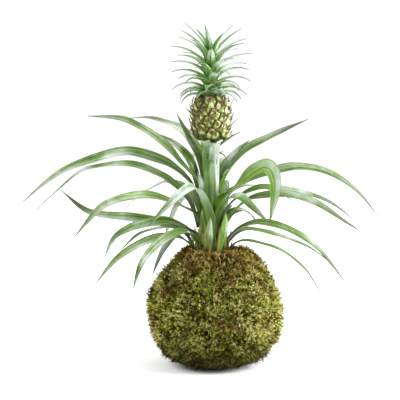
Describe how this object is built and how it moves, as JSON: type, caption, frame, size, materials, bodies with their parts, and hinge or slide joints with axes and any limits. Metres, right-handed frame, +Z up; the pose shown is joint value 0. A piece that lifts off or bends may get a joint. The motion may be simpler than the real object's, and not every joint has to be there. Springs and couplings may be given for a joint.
{
  "type": "kokedama moss ball plant",
  "caption": "Ball of soil wrapped in bound moss, with a rosette of long arching strap leaves, a stalk, and a small scaly fruit that carries a leafy crown.",
  "frame": {"origin": "centre of the flat spot that the moss ball rests on", "axes": "+Z up along the stem, +Y away from the front, +X to the right as seen from the front"},
  "size_m": [0.4274, 0.2396, 0.4135],
  "materials": {
    "moss": "matt, fibrous",
    "soil": "matt, crumbly",
    "thread": "satin",
    "stem": "satin",
    "stalk": "satin",
    "leaf": "satin with a pale waxy bloom",
    "fruit": "satin",
    "crown": "satin with a pale waxy bloom"
  },
  "bodies": {
    "root": {"moss_cover": "moss", "soil_ball": "soil", "binding_thread": "thread", "rooted_stem": "stem", "fruit_stalk": "stalk", "leaf_01": "leaf", "leaf_02": "leaf", "leaf_03": "leaf", "leaf_04": "leaf", "leaf_05": "leaf", "leaf_06": "leaf", "leaf_07": "leaf", "leaf_08": "leaf", "leaf_09": "leaf", "leaf_10": "leaf", "leaf_11": "leaf", "leaf_12": "leaf", "leaf_13": "leaf", "leaf_14": "leaf", "leaf_15": "leaf", "leaf_16": "leaf", "leaf_17": "leaf", "leaf_18": "leaf", "leaf_19": "leaf", "leaf_20": "leaf", "leaf_21": "leaf", "leaf_22": "leaf", "leaf_23": "leaf", "leaf_24": "leaf", "leaf_25": "leaf", "leaf_26": "leaf", "leaf_27": "leaf", "leaf_28": "leaf", "leaf_29": "leaf", "leaf_30": "leaf", "leaf_31": "leaf", "leaf_32": "leaf", "leaf_33": "leaf", "leaf_34": "leaf", "leaf_35": "leaf", "leaf_36": "leaf", "leaf_37": "leaf", "leaf_38": "leaf", "leaf_39": "leaf", "leaf_40": "leaf", "fruit": "fruit", "crown": "crown"}
  },
  "joints": []
}
